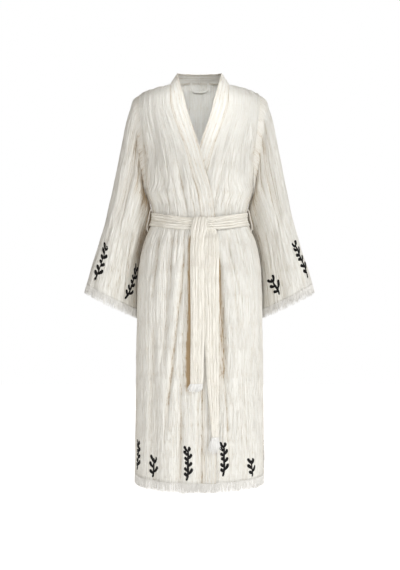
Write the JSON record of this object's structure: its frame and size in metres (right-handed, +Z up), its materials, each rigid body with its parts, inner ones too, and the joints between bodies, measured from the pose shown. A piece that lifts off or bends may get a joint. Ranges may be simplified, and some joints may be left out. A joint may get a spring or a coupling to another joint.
{
  "type": "kimono robe",
  "caption": "Wrap robe of crinkled cotton in worn hollow form, with wide sleeves, a banded front edge, a tied sash, and fringed cuffs and hem.",
  "frame": {"origin": "on the garment's centre line at the height of the side neck points, above the middle of the body's depth", "axes": "+Z up towards the collar, +X towards the wearer's left, -Y out of the front"},
  "size_m": [0.6507, 0.2816, 1.1738],
  "materials": {
    "cloth": "cream crinkled double gauze cotton",
    "band": "the same cloth, folded double",
    "belt": "the same cloth, folded double, creased along its length",
    "fringe": "loose warp threads of the cloth",
    "thread": "chained sewing thread"
  },
  "bodies": {
    "root": {"back": "cloth", "front_right": "cloth", "front_left": "cloth", "sleeve_right": "cloth", "sleeve_left": "cloth", "neckband_right": "band", "neckband_left": "band", "belt": "belt", "belt_knot": "belt", "belt_tail_right": "belt", "belt_tail_left": "belt", "belt_tassel_right": "fringe", "belt_tassel_left": "fringe", "belt_loop_right": "thread", "belt_loop_left": "thread", "hanging_loop": "band", "fringe_hem_back": "fringe", "fringe_hem_right": "fringe", "fringe_hem_left": "fringe", "fringe_cuff_right": "fringe", "fringe_cuff_left": "fringe"}
  },
  "joints": []
}
